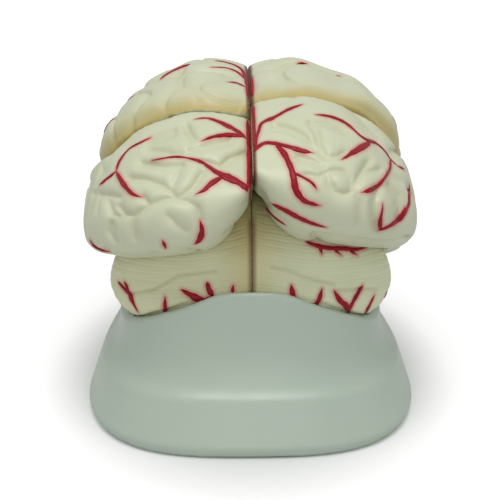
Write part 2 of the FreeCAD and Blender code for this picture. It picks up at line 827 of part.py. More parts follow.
# Pins of each half: two up into the front section, two out into the rear section
upPinPlace = 10
outPinPlace = 9
outPinDrop = 7
backPinPlace = 6
outwards = {"left": FreeCAD.Rotation(Vector(0, 1, 0), -90), "right": FreeCAD.Rotation(Vector(0, 1, 0), 90)}
backwards = FreeCAD.Rotation(Vector(1, 0, 0), 90)
for name, side in sides.items():
    upPins, outPins = [], []
    holes = {"front": [], "rear": [], "core": pinHoles[name], "cerebellum": []}
    for end in (-1, 1):
        label = "%s_%s" % (name, "back" if end < 0 else "fore")
        upPlace = Vector(side * upPinPlace, thalamusMiddle + end * size("lobePinSpacing") / 2, thalamusLevel + 2)
        upPins.append(addRod(label + "_up_pin", "sizes.lobePinRadius", "sizes.lobePinLength", upPlace))
        holes["front"].append(addRod(label + "_up_hole", "sizes.lobePinRadius + sizes.pinClearance",
                                     "sizes.lobePinLength + 1", upPlace))
        holes["core"].append(addRod(label + "_up_seat", "sizes.lobePinRadius", "sizes.lobePinLength", upPlace))
        outPlace = Vector(side * outPinPlace, thalamusMiddle + end * size("sidePinSpacing") / 2,
                          thalamusLevel - outPinDrop)
        outPins.append(addRod(label + "_out_pin", "sizes.sidePinRadius", "sizes.sidePinLength", outPlace,
                              outwards[name]))
        holes["rear"].append(addRod(label + "_out_hole", "sizes.sidePinRadius + sizes.pinClearance",
                                    "sizes.sidePinLength + 1", outPlace, outwards[name]))
        holes["core"].append(addRod(label + "_out_seat", "sizes.sidePinRadius", "sizes.sidePinLength", outPlace,
                                    outwards[name]))
    backPlace = Vector(side * backPinPlace, stemMiddle - 3, stemLevel + 2)
    backPin = addRod(name + "_back_pin", "sizes.peduncleRadius", "sizes.peduncleLength", backPlace, backwards)
    for target in ("core", "cerebellum"):
        holes[target].append(addRod("%s_%s_back_hole" % (name, target), "sizes.peduncleRadius",
                                    "sizes.peduncleLength", backPlace, backwards))

    # Cerebrum: one form, parted by the seam; the rear section sits a step lower at its edge
    seamStep = size("seamStepLeft") if side < 0 else size("seamStepRight")
    rearDrop = size("rearDropLeft") if side < 0 else size("rearDropRight")
    frontRings = halfRings(cerebrumForm(0, 0), side, gapHalf, frontRelief)
    rearRings = halfRings(cerebrumForm(seamStep, rearDrop), side, gapHalf, rearRelief)
    cerebellumRings = halfRings(cerebellumForm(0), side, gapHalf, cerebellumRelief)
    frontShape = skinSolid(frontRings)
    rearShape = skinSolid(rearRings)
    frontShape = frontShape.common(seamSide(side, size("seamGap") / 2)).cut(coreRoom(side))
    rearShape = rearShape.cut(seamSide(side, -size("seamGap") / 2))
    rearShape = rearShape.cut(halfForm(cerebellumForm(size("lobeClearance")), side, 0))
    rearShape = rearShape.cut(sideRoom(side))
    frontForm = addShape(name + "_front_form", frontShape)
    rearForm = addShape(name + "_rear_form", rearShape)
    addPiece(addCut(name + "_front_cut", frontForm, addGroup(name + "_front_holes", holes["front"])),
             name + "_fronto_parietal")
    addPiece(addCut(name + "_rear_cut", rearForm, addGroup(name + "_rear_holes", holes["rear"])),
             name + "_temporo_occipital")

    # Cerebellum half
    cerebellumWhole = addShape(name + "_cerebellum_form", skinSolid(cerebellumRings).cut(wallRoom))
    addPiece(addCut(name + "_cerebellum_cut", cerebellumWhole,
                    addGroup(name + "_cerebellum_holes", holes["cerebellum"])), name + "_cerebellum")

    # Brain stem half, cut off flat where it stands on the post
    thalamus = halfForm(ovalForm(thalamusMiddle, thalamusLevel, size("thalamusLength") / 2,
                                 size("thalamusHeight") / 2, size("thalamusWidth") / 2, 2.3, 40, 16),
                        side, gapHalf)
    stem = halfForm(stemForm(), side, gapHalf)
    below = Part.makeBox(size("baseWidth"), size("baseLength"), seatHeight,
                         Vector(-size("baseWidth") / 2, -size("baseLength") / 2, 0))
    stemFeature = addShape(name + "_stem_form", thalamus.fuse(stem).cut(below))
    addPiece(addCut(name + "_stem_cut", stemFeature, addGroup(name + "_stem_holes", holes["core"])),
             name + "_brain_stem")

    addPiece(addGroup(name + "_up_pins", upPins), name + "_front_pins")
    addPiece(addGroup(name + "_out_pins", outPins), name + "_rear_pins")
    addPiece(backPin, name + "_cerebellum_pin")

    # Raised arteries, held as groups of separate thin solids
    for region, rings in (("front", frontRings), ("rear", rearRings), ("cerebellum", cerebellumRings)):
        surface = skinSurface(rings)
        tubes = [arteryTube(surface, side, look, width, path) for look, width, path in arteries[side][region]]
        arteryGroup = addShape("%s_%s_artery_group" % (name, region), Part.makeCompound(tubes))
        addPiece(arteryGroup, "%s_%s_arteries" % (name, region))

doc.recompute()
for thing in doc.Objects:
    if "Invalid" in thing.State or "Error" in thing.State:
        raise RuntimeError("%s failed: %s" % (thing.Name, thing.State))
os.makedirs("parts", exist_ok=True)
for piece in pieces:
    if piece.Shape.isNull() or not piece.Shape.isValid():
        raise RuntimeError("%s has no valid shape" % piece.Label)
    piece.Shape.exportStep("parts/%s.step" % piece.Label)
    box = piece.Shape.BoundBox
    print("%-26s solids %d volume %9.0f  x %6.1f %6.1f  y %6.1f %6.1f  z %6.1f %6.1f" % (
        piece.Label, len(piece.Shape.Solids), piece.Shape.Volume,
        box.XMin, box.XMax, box.YMin, box.YMax, box.ZMin, box.ZMax))
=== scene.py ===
# Brain anatomy model that comes apart, on its moulded base
import json
import math

import bmesh
import bpy
from mathutils import Matrix, Vector
from mathutils.bvhtree import BVHTree

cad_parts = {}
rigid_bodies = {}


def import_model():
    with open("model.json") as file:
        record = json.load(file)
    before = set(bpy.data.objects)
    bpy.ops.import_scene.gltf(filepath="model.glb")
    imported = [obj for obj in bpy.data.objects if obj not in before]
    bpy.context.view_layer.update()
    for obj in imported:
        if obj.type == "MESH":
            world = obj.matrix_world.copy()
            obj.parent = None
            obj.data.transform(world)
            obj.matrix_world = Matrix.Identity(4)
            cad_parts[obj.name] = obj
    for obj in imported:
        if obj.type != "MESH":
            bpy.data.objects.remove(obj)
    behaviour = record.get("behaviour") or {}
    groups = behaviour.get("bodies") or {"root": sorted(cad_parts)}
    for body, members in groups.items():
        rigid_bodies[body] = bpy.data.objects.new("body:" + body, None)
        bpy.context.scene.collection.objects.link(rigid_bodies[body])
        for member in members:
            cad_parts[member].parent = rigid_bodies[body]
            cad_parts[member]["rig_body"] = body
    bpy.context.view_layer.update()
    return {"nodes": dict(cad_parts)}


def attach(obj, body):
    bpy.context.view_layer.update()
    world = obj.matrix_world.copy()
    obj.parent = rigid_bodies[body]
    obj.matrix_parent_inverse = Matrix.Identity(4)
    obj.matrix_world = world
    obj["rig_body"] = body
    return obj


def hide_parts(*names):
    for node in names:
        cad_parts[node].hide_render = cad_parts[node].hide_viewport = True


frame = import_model()
print("frame loaded")

sides = {"left": -1, "right": 1}
millimetre = 0.001


def paint(red, green, blue):  # a colour as a screen shows it, 0 to 255
    shares = [value / 255 for value in (red, green, blue)]
    return tuple(s / 12.92 if s < 0.04 else ((s + 0.055) / 1.055) ** 2.4 for s in shares) + (1,)


def smooth(low, high, value):
    share = min(1, max(0, (value - low) / (high - low)))
    return share * share * (3 - 2 * share)


# The view that grooves and arteries are drawn in: pixels of a square picture, degrees and metres
view = {
    "size": 500,
    "column": 253,
    "row": 250,
    "focal": 1652,
    "elevation": 20,
    "distance": 0.7,
    "height": 0.05535,
}
viewTilt = math.radians(view["elevation"])
viewBack = Vector((0, -math.cos(viewTilt), math.sin(viewTilt)))
viewUp = Vector((0, viewBack.z, -viewBack.y))
viewMiddle = Vector((0, 0, view["height"]))
viewEye = viewMiddle + viewBack * view["distance"]


def picturePlace(point):
    offset = point - viewMiddle
    scale = view["focal"] / (view["distance"] - offset.dot(viewBack))
    return view["column"] + scale * point.x, view["row"] - scale * offset.dot(viewUp)


def towardsView(point, outward):
    return outward.dot((viewEye - point).normalized())


# Materials
def newMaterial(name, roughness, specular):
    material = bpy.data.materials.new(name)
    material.use_nodes = True
    shader = material.node_tree.nodes["Principled BSDF"]
    shader.inputs["Roughness"].default_value = roughness
    shader.inputs["Specular IOR Level"].default_value = specular
    return material, material.node_tree, shader


def noiseOf(tree, scale, detail, stretch=None):
    place = tree.nodes.new("ShaderNodeTexCoord").outputs["Object"]
    if stretch:
        mapping = tree.nodes.new("ShaderNodeMapping")
        mapping.inputs["Scale"].default_value = stretch
        tree.links.new(place, mapping.inputs["Vector"])
        place = mapping.outputs["Vector"]
    noise = tree.nodes.new("ShaderNodeTexNoise")
    noise.inputs["Scale"].default_value = scale
    noise.inputs["Detail"].default_value = detail
    tree.links.new(place, noise.inputs["Vector"])
    return noise.outputs["Fac"]


def mixOf(tree, share, first, second):  # colours or sockets
    mix = tree.nodes.new("ShaderNodeMix")
    mix.data_type = "RGBA"
    for value, socket in ((share, mix.inputs[0]), (first, mix.inputs[6]), (second, mix.inputs[7])):
        if isinstance(value, bpy.types.NodeSocket):
            tree.links.new(value, socket)
        else:
            socket.default_value = value
    return mix.outputs[2]


def rangeOf(tree, value, fromLow, fromHigh, toLow, toHigh):
    spread = tree.nodes.new("ShaderNodeMapRange")
    spread.inputs["From Min"].default_value = fromLow
    spread.inputs["From Max"].default_value = fromHigh
    spread.inputs["To Min"].default_value = toLow
    spread.inputs["To Max"].default_value = toHigh
    tree.links.new(value, spread.inputs["Value"])
    return spread.outputs["Result"]


def cloudsOf(tree, scale, detail):  # soft patches, from 0 to 1
    return rangeOf(tree, noiseOf(tree, scale, detail), 0.35, 0.65, 0, 1)


def attributeOf(tree, name):
    attribute = tree.nodes.new("ShaderNodeAttribute")
    attribute.attribute_name = name
    return attribute


def addSmudges(tree, shader, noise, look):  # the gloss changes a little from place to place
    shinier, duller = look["smudge"]
    uneven = rangeOf(tree, noise, 0.3, 0.7, look["roughness"] + shinier, look["roughness"] + duller)
    tree.links.new(uneven, shader.inputs["Roughness"])


def addBump(tree, shader, height, strength, distance):
    bump = tree.nodes.new("ShaderNodeBump")
    bump.inputs["Strength"].default_value = strength
    bump.inputs["Distance"].default_value = distance
    tree.links.new(height, bump.inputs["Height"])
    tree.links.new(bump.outputs["Normal"], shader.inputs["Normal"])


def leavesOf(tree, look):  # fine folds: bands that wander, level in the piece's own "leaf" places
    leaves = tree.nodes.new("ShaderNodeTexWave")
    leaves.bands_direction = "Z"
    leaves.inputs["Scale"].default_value = 0.314 / look["leafPitch"]  # bands lie 0.314 / scale apart
    leaves.inputs["Distortion"].default_value = look["leafWander"]
    leaves.inputs["Detail"].default_value = 2
    leaves.inputs["Detail Scale"].default_value = 0.6
    tree.links.new(attributeOf(tree, "leaf").outputs["Vector"], leaves.inputs["Vector"])
    return leaves.outputs["Fac"]


def paintedVinyl(name, look):  # the cast sections: painted shade in their grooves, by the seams, on the inner faces and in the cerebellum's hollows; dark red paint along the middle gap with painted shade; red beside the arteries
    material, tree, shader = newMaterial(name, look["roughness"], look["specular"])
    skin = mixOf(tree, cloudsOf(tree, look["patchScale"], 3), look["light"], look["shade"])
    shadedSkin = mixOf(tree, attributeOf(tree, "paintedShade").outputs["Fac"], skin, look["paintedShade"])
    flushed = mixOf(tree, attributeOf(tree, "blush").outputs["Fac"], shadedSkin, look["blush"])
    withGapRed = mixOf(tree, attributeOf(tree, "gapRedAndShade").outputs["Fac"], flushed, look["gapRedAndShade"])
    tree.links.new(withGapRed, shader.inputs["Base Color"])
    addSmudges(tree, shader, noiseOf(tree, look["smudgeScale"], 3), look)
    if "leafPitch" in look:
        addBump(tree, shader, leavesOf(tree, look), look["leafRelief"], look["leafDepth"])
    else:
        grain = noiseOf(tree, look["grainScale"], 4)
        addBump(tree, shader, grain, look["grainRelief"], look["grainDepth"])
    return material


def redPaint(name, look):
    material, tree, shader = newMaterial(name, look["roughness"], look["specular"])
    streaks = cloudsOf(tree, look["streakScale"], 3)
    tree.links.new(mixOf(tree, streaks, look["dark"], look["bright"]), shader.inputs["Base Color"])
    addBump(tree, shader, noiseOf(tree, look["grainScale"], 3), look["grainRelief"], look["grainDepth"])
    return material


def mouldedPlastic(name, look):
    material, tree, shader = newMaterial(name, look["roughness"], look["specular"])
    clouds = cloudsOf(tree, look["patchScale"], 2)
    tree.links.new(mixOf(tree, clouds, look["light"], look["shade"]), shader.inputs["Base Color"])
    addSmudges(tree, shader, noiseOf(tree, look["smudgeScale"], 4), look)
    addBump(tree, shader, noiseOf(tree, look["grainScale"], 4), look["grainRelief"], look["grainDepth"])
    return material


def turnedSteel(name, look):  # fine rings round an upright pin
    material, tree, shader = newMaterial(name, look["roughness"], look["specular"])
    shader.inputs["Metallic"].default_value = 1
    lines = noiseOf(tree, look["lineScale"], 4, look["lineStretch"])
    tree.links.new(mixOf(tree, lines, look["bright"], look["dark"]), shader.inputs["Base Color"])
    addSmudges(tree, shader, lines, look)
    return material


# Scales are in bumps to a metre, depths in metres, and a smudge is added to the roughness
vinylPaint = {
    # The tan is painted shade, for the grooves, the seam band, the inner faces and the hollows of the
    # cerebellum
    "paintedShade": paint(184, 166, 98),
    "blush": paint(206, 120, 120),
    # Dark red paint along the middle gap, made darker still as painted shade
    "gapRedAndShade": paint(98, 24, 14),
    "patchScale": 45,
    "smudgeScale": 260,
    "smudge": (-0.06, 0.08),
}
vinyl = paintedVinyl("creamVinyl", {
    **vinylPaint,
    "light": paint(207, 211, 182),
    "shade": paint(201, 205, 175),
    "roughness": 0.42,
    "specular": 0.38,
    "grainScale": 900,
    "grainRelief": 0.18,
    "grainDepth": 0.0004,
})
# The same cream vinyl as the sections, painted paler: painted light that makes up for the shade the
# rear sections cast on the cerebellum
litLeafVinyl = paintedVinyl("creamVinylLeavesLit", {
    **vinylPaint,
    "light": paint(220, 225, 190),
    "shade": paint(213, 218, 183),
    "roughness": 0.45,
    "specular": 0.35,
    "leafPitch": 0.0014,
    "leafWander": 4.5,
    "leafRelief": 0.11,
    "leafDepth": 0.0012,
})
red = redPaint("arteryRed", {
    "bright": paint(158, 10, 34),
    "dark": paint(128, 4, 22),
    "roughness": 0.45,
    "specular": 0.25,
    "streakScale": 700,
    "grainScale": 1800,
    "grainRelief": 0.25,
    "grainDepth": 0.0002,
})
basePlastic = mouldedPlastic("paleGreenPlastic", {
    "light": paint(182, 196, 180),
    "shade": paint(178, 193, 179),
    "roughness": 0.34,
    "specular": 0.45,
    "patchScale": 14,
    "smudgeScale": 90,
    "smudge": (-0.05, 0.07),
    "grainScale": 1500,
    "grainRelief": 0.06,
    "grainDepth": 0.0002,
})
steel = turnedSteel("turnedSteel", {
    "bright": paint(205, 205, 203),
    "dark": paint(168, 168, 166),
    "roughness": 0.3,
    "specular": 0.5,
    "lineScale": 500,
    "lineStretch": (1, 1, 12),
    "smudge": (-0.06, 0.1),
})
print("materials made")


def addObject(name, mesh, material):
    piece = bpy.data.objects.new(name, mesh)
    bpy.context.scene.collection.objects.link(piece)
    mesh.materials.clear()
    mesh.materials.append(material)
    return piece


def evenCopy(name, node, material, look):  # the solid again with an even mesh, its edges softened
    mesh = frame["nodes"][node].data.copy()
    shape = bmesh.new()
    shape.from_mesh(mesh)
    bmesh.ops.remove_doubles(shape, verts=shape.verts, dist=0.02 * millimetre)
    shape.to_mesh(mesh)
    shape.free()
    piece = addObject(name, mesh, material)
    even = piece.modifiers.new("even", "REMESH")
    even.mode = "VOXEL"
    even.voxel_size = look["grid"] * millimetre
    even.use_smooth_shade = True
    soften = piece.modifiers.new("soften", "SMOOTH")
    soften.factor = 0.5
    soften.iterations = look["softening"]
    settled = piece.evaluated_get(bpy.context.evaluated_depsgraph_get())
    evened = bpy.data.meshes.new_from_object(settled)
    piece.modifiers.clear()
    piece.data = evened
    evened.name = name
    for face in evened.polygons:
        face.use_smooth = True
    return piece


def stands(piece, node):  # the piece shows in the node's place
    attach(piece, frame["nodes"][node]["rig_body"])
    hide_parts(node)


# Paint, painted shade and form that the sections share: (from, to) is where an effect sets in and where
# it is full
middle = {  # the flat inner faces bulge and all but touch, with painted shade on them
    "reach": 1.0,  # mm from the middle
    "facing": 0.8,
    "swell": 0.2,  # mm
    "tint": 0.3,
}
gapEdgeRedAndShade = {  # the dark line beside the middle gap: red paint made darker as painted shade, only outside an oval of the inner faces
    "middle": (2, 98),  # mm
    "half": (78, 35),  # mm
    "ovalEdge": (0.7, 0.85),
    "reach": (2.2, 0.8),  # mm from the middle
    "flatFace": (1, 0.9),
}
paintedSeamShade = {  # painted shade: the darker band beside the seam, where the step lies in shade
    "reach": 6.6,  # mm
    "cutFace": (0.86, 0.97),
    "cutFading": 0.75,  # the hidden face of the cut stays pale
}
seams = {  # (y, z) in mm, seen from the side
    "left": ((-29, 137), (-27, 125), (-22, 113), (-13, 99.4), (2, 90.3),
             (20, 85), (45, 76), (58, 66), (74, 44)),
    "right": ((-21, 137), (-19, 125), (-14.3, 113), (-12, 99.4), (2, 90.3),
              (20, 85), (45, 76), (58, 66), (74, 44)),
}


def paintGapRedAndShade(piece, strength):  # the edges along the middle gap are painted like arteries, in a red darkened as painted shade
    gapRedAndShade = piece.data.attributes.new("gapRedAndShade", "FLOAT", "POINT")
    for vertex in piece.data.vertices:
        x, y, z = vertex.co / millimetre
        away = math.hypot((y - gapEdgeRedAndShade["middle"][0]) / gapEdgeRedAndShade["half"][0],
                          (z - gapEdgeRedAndShade["middle"][1]) / gapEdgeRedAndShade["half"][1])
        near = smooth(*gapEdgeRedAndShade["reach"], abs(x))
        near *= smooth(*gapEdgeRedAndShade["flatFace"], abs(vertex.normal.x))
        gapRedAndShade.data[vertex.index].value = strength * near * smooth(*gapEdgeRedAndShade["ovalEdge"], away)


def segmentDistance(across, up, start, end):
    runAcross, runUp = end[0] - start[0], end[1] - start[1]
    share = (across - start[0]) * runAcross + (up - start[1]) * runUp
    share = min(1, max(0, share / (runAcross * runAcross + runUp * runUp)))
    return math.hypot(across - start[0] - share * runAcross, up - start[1] - share * runUp)


# painted shade: full at the seam, fading over a few mm
def seamShade(name, point):
    y, z = point.y / millimetre, point.z / millimetre
    seam = seams[name]
    off = min(segmentDistance(y, z, start, end) for start, end in zip(seam, seam[1:]))
    return math.exp(-(off / paintedSeamShade["reach"]) ** 2)


def carve(piece, liftAt):  # moves each point along its normal and stores how much painted shade it gets
    mesh = piece.data
    paintedShade = mesh.attributes.new("paintedShade", "FLOAT", "POINT")
    lifts = []
    for vertex in mesh.vertices:
        lift, shadeShare = liftAt(vertex.co, vertex.normal)
        # the flat inner faces swell a little and get painted shade
        inner = abs(vertex.co.x) < middle["reach"] * millimetre
        if inner and abs(vertex.normal.x) > middle["facing"]:
            lift, shadeShare = middle["swell"], middle["tint"]
        lifts.append(vertex.co + vertex.normal * lift * millimetre)
        paintedShade.data[vertex.index].value = shadeShare
    for vertex, place in zip(mesh.vertices, lifts):
        vertex.co = place
    mesh.update()


# Grooves of the rear lobes: depth share, then pixels
rearGrooves = {
    "left": [
        (0.8, (152, 139), (164, 134), (176, 130)),
        (1.0, (188, 125), (191, 131), (196, 138)),
        (0.9, (192, 149), (215, 143), (233, 140)),
        (1.0, (206, 160), (221, 166), (232, 157), (249, 152)),
        (1.0, (143, 162), (162, 165), (182, 164)),
        (0.9, (130, 177), (146, 178), (161, 183), (171, 190)),
        (1.0, (171, 190), (177, 198), (184, 193), (193, 187), (203, 172)),
        (0.7, (179, 171), (173, 184)),
        (1.0, (143, 196), (149, 203), (141, 210), (134, 215)),
        (0.9, (119, 205), (125, 213), (134, 215)),
        (0.9, (150, 203), (168, 197), (186, 200), (198, 207), (201, 220)),
        (0.7, (168, 215), (177, 224), (186, 230)),
        (0.9, (112, 222), (110, 231), (115, 240)),
        (0.8, (134, 215), (133, 228), (135, 238)),
        (0.8, (110, 201), (113, 213), (119, 215)),
        (0.8, (94, 192), (109, 194), (120, 196)),
        (0.8, (103, 154), (105, 172)),
        (0.7, (150, 149), (162, 150), (174, 153), (189, 152)),
    ],
    "right": [
        (1.0, (276, 125), (289, 127), (304, 134), (313, 145), (327, 157)),
        (1.0, (312, 122), (319, 132), (320, 144), (328, 157)),
        (0.8, (328, 157), (339, 156), (347, 152)),
        (0.8, (313, 122), (330, 123), (341, 127), (348, 131)),
        (1.0, (298, 156), (313, 160), (324, 166)),
        (0.9, (306, 174), (320, 176), (329, 171), (337, 170)),
        (1.0, (328, 173), (330, 183), (337, 192), (345, 194), (353, 191)),
        (0.9, (353, 191), (351, 179), (344, 171), (337, 170)),
        (0.7, (356, 185), (358, 197), (361, 204), (360, 214), (358, 226)),
        (0.9, (370, 162), (360, 177), (355, 185)),
        (0.7, (369, 171), (382, 170)),
        (1.0, (380, 188), (376, 202), (375, 220), (378, 231)),
        (0.9, (391, 185), (400, 197), (403, 208), (400, 220)),
        (0.8, (393, 173), (403, 181), (411, 185)),
        (0.6, (353, 107), (360, 115), (376, 132), (382, 138)),
    ],
}

# Cerebrum sections: lengths in mm, unless they are named as pixels
lobe = {
    "grid": 0.8,  # between points
    "softening": 2,
    "crease": 0.75,  # deepest cut
    "creasePixels": 1.9,
    "valley": 0.4,  # the wider dip that leaves the convolutions plump
    "valleyPixels": 5,
    # Painted shade along the grooves: how wide, in pixels, and how strong
    "grooveShadePixels": 3.0,
    "grooveShade": 0.09,
    "drawnPixels": 12,  # how far a drawn groove reaches
    "drawnFacing": (0.1, 0.4),  # the drawn grooves give way to winding ones where the view ends
    "drawnBehind": (-6, -20),
    "outer": (3, 8),  # no winding grooves on the inner faces
    "tip": 12,  # of the temporal pole that is rounded
    "tipSoftening": 120,
}
winding = {  # the grooves that aren't drawn: a sum of slanting waves
    "waves": 7,
    "length": 25,  # mm
    "lean": (1.3, 0.5),
    "turn": 2.4,
    "phase": 1.7,
    "shift": 9,  # mm, so that the sides differ
    "creaseWidth": 0.5,
    # the band of painted shade along a winding groove
    "grooveShadeWidth": 0.9,
}
shoulder = {  # mm that the front sections' upper outer corners are fuller
    "left": 1.6,
    "right": 4,
    "outwards": (28, 46),
    "upwards": (100, 113),
    "underTop": (131, 120),
    "facing": (-0.75, -0.4),
}


def drawnDepth(column, row, grooves, reach):  # nearest groove, as (depth share, pixels off)
    best = (0, 1e9)
    strongest = 0
    for depth, *path in grooves:
        columns = [place[0] for place in path]
        rows = [place[1] for place in path]
        if not min(columns) - reach < column < max(columns) + reach:
            continue
        if not min(rows) - reach < row < max(rows) + reach:
            continue
        off = min(segmentDistance(column, row, start, end) for start, end in zip(path, path[1:]))
        strength = depth * math.exp(-(off / reach * 3) ** 2)
        if strength > strongest:
            strongest = strength
            best = (depth, off)
    return best


def windingSum(point, side):  # a groove lies where it is nought
    placed = point / millimetre + Vector((side * winding["shift"], 0, 0))
    total = 0
    for wave in range(winding["waves"]):
        lean = winding["lean"][0] * wave + winding["lean"][1]
        turn = winding["turn"] * wave
        heading = Vector((math.cos(turn) * math.sin(lean), math.sin(turn) * math.sin(lean),
                          math.cos(lean)))
        along = placed.dot(heading)
        total += math.sin(2 * math.pi * along / winding["length"] + winding["phase"] * wave)
    return total


def shoulderSwell(name, point, outward):
    swell = shoulder[name]
    swell *= smooth(*shoulder["outwards"], abs(point.x) / millimetre)
    swell *= smooth(*shoulder["upwards"], point.z / millimetre)
    swell *= smooth(*shoulder["underTop"], point.z / millimetre)
    return swell * smooth(*shoulder["facing"], outward.y)


def roundTip(piece):  # the temporal pole ends blunt, not in the point that the cut leaves
    foremost = max(vertex.co.y for vertex in piece.data.vertices)
    shape = bmesh.new()
    shape.from_mesh(piece.data)
    tip = [vertex for vertex in shape.verts if vertex.co.y > foremost - lobe["tip"] * millimetre]
    for step in range(lobe["tipSoftening"]):
        bmesh.ops.smooth_vert(shape, verts=tip, factor=0.5,
                              use_axis_x=True, use_axis_y=True, use_axis_z=True)
    shape.to_mesh(piece.data)
    shape.free()


def frontLift(name):
    side = sides[name]

    def lift(point, outward):
        total = windingSum(point, side)
        outer = smooth(*lobe["outer"], abs(point.x) / millimetre)
        crease = math.exp(-(total / winding["creaseWidth"]) ** 2) * outer
        # painted shade beside the seam, kept pale on the hidden cut face, and painted shade in the
        # winding grooves
        cutFace = smooth(*paintedSeamShade["cutFace"], max(-outward.y, -outward.z))
        shade = seamShade(name, point) * (1 - paintedSeamShade["cutFading"] * cutFace)
        paintedShade = lobe["grooveShade"] * math.exp(-(total / winding["grooveShadeWidth"]) ** 2) * outer
        swell = shoulderSwell(name, point, outward)
        return swell - lobe["crease"] * crease * (1 - shade), max(shade, paintedShade)
    return lift


def rearLift(name):
    side = sides[name]

    def lift(point, outward):
        seen = smooth(*lobe["drawnFacing"], towardsView(point, outward))
        seen *= smooth(*lobe["drawnBehind"], point.y / millimetre)
        crease = shadeShare = valley = 0
        if seen > 0:
            column, row = picturePlace(point)
            depth, off = drawnDepth(column, row, rearGrooves[name], lobe["drawnPixels"])
            crease = seen * depth * math.exp(-(off / lobe["creasePixels"]) ** 2)
            shadeShare = seen * depth * math.exp(-(off / lobe["grooveShadePixels"]) ** 2)
            valley = seen * depth * math.exp(-(off / lobe["valleyPixels"]) ** 2)
        if seen < 1:
            total = windingSum(point, side)
            outer = smooth(*lobe["outer"], abs(point.x) / millimetre) * (1 - seen)
            crease += outer * math.exp(-(total / winding["creaseWidth"]) ** 2)
            shadeShare += outer * math.exp(-(total / winding["grooveShadeWidth"]) ** 2)
        # the lift, then the painted shade in the grooves
        return -lobe["crease"] * crease - lobe["valley"] * valley, lobe["grooveShade"] * shadeShare
    return lift


pieces = {}
for name, side in sides.items():
    front = evenCopy(name + "FrontSection", name + "_fronto_parietal", vinyl, lobe)
    carve(front, frontLift(name))
    paintGapRedAndShade(front, 1)
    stands(front, name + "_fronto_parietal")
    rear = evenCopy(name + "RearSection", name + "_temporo_occipital", vinyl, lobe)
    roundTip(rear)
    carve(rear, rearLift(name))
    paintGapRedAndShade(rear, 1)
    stands(rear, name + "_temporo_occipital")
    pieces[name, "front"] = front
    pieces[name, "rear"] = rear
    print(name, "cerebrum carved", len(front.data.vertices), len(rear.data.vertices))


# Cerebellum halves: level folia that fan out, and the fissure across the back
folia = {
    "grid": 0.65,  # mm
    "softening": 1,
    "pitch": 2.8,  # mm, of the folds that are formed; finer ones are in the material
    "depth": 0.1,  # mm
    "outer": (1.5, 5),  # mm from the middle
    "fissureDepth": 0.8,  # mm
    "fissurePixels": 1.7,
    # painted shade in the fissures
    "fissureShade": 0.2,
    "drawnPixels": 10,
    "seat": 0.9,  # mm, towards the base's rim
    "seatRows": (288, 306),
    "underRows": (275, 235),  # in the shade of the rear sections
    # painted shade under the rear sections and beside the middle gap
    "underShade": 0.2,
    "gapReach": 17,  # mm
    "gapShade": 0.45,
    "gapRedAndShade": 0.6,
    # the left half a little tanner all over
    "tint": {"left": 0.16, "right": 0},
}
leafWave = {  # how the folia fan out: a slope outwards and forwards, and a wave in mm
    "outwards": 0.12,
    "forwards": 0.1,
    "height": 1.1,
    "pace": (9, 14),
}
fissures = {
    "left": [
        (1, (135, 292), (153, 289), (165, 283), (178, 275), (192, 273), (217, 271)),
        (0.6, (150, 312), (168, 308), (190, 304), (204, 300)),
    ],
    "right": [
        (1, (272, 268), (289, 271), (303, 276), (322, 281), (335, 284)),
        (0.9, (340, 290), (352, 290), (362, 289), (378, 289)),
    ],
}


def leafHeight(point):
    x, y, z = point / millimetre
    wave = math.sin(abs(x) / leafWave["pace"][0] + z / leafWave["pace"][1])
    return z + leafWave["outwards"] * abs(x) + leafWave["forwards"] * y + leafWave["height"] * wave


def foliaLift(name):
    def lift(point, outward):
        outer = smooth(*folia["outer"], abs(point.x) / millimetre)
        ridge = 0.5 + 0.5 * math.cos(2 * math.pi * leafHeight(point) / folia["pitch"])
        column, row = picturePlace(point)
        depth, off = drawnDepth(column, row, fissures[name], folia["drawnPixels"])
        fissure = depth * math.exp(-(off / folia["fissurePixels"]) ** 2)
        under = smooth(*folia["underRows"], row)
        nearGap = smooth(folia["gapReach"], 0, abs(point.x) / millimetre)
        # the left half's tanner tone, plus painted shade under the rear sections, beside the middle gap
        # and in the fissures
        tint = folia["tint"][name] + folia["underShade"] * under
        tint += folia["gapShade"] * nearGap + folia["fissureShade"] * fissure
        seated = folia["seat"] * smooth(*folia["seatRows"], row)
        cut = folia["depth"] * (1 - ridge) ** 2 + folia["fissureDepth"] * fissure
        return seated - outer * cut, min(1, tint)
    return lift


for name in sides:
    half = evenCopy(name + "Cerebellum", name + "_cerebellum", litLeafVinyl, folia)
    leaf = half.data.attributes.new("leaf", "FLOAT_VECTOR", "POINT")
    for vertex in half.data.vertices:
        leaf.data[vertex.index].vector = (vertex.co.x, vertex.co.y, leafHeight(vertex.co) * millimetre)
    carve(half, foliaLift(name))
    paintGapRedAndShade(half, folia["gapRedAndShade"])
    stands(half, name + "_cerebellum")
    pieces[name, "cerebellum"] = half
    print(name, "cerebellum carved", len(half.data.vertices))


# Brain stem halves
stem = {"grid": 0.8, "softening": 3}
for name in sides:
    core = evenCopy(name + "Stem", name + "_brain_stem", vinyl, stem)
    carve(core, lambda point, outward: (0, 0))
    stands(core, name + "_brain_stem")


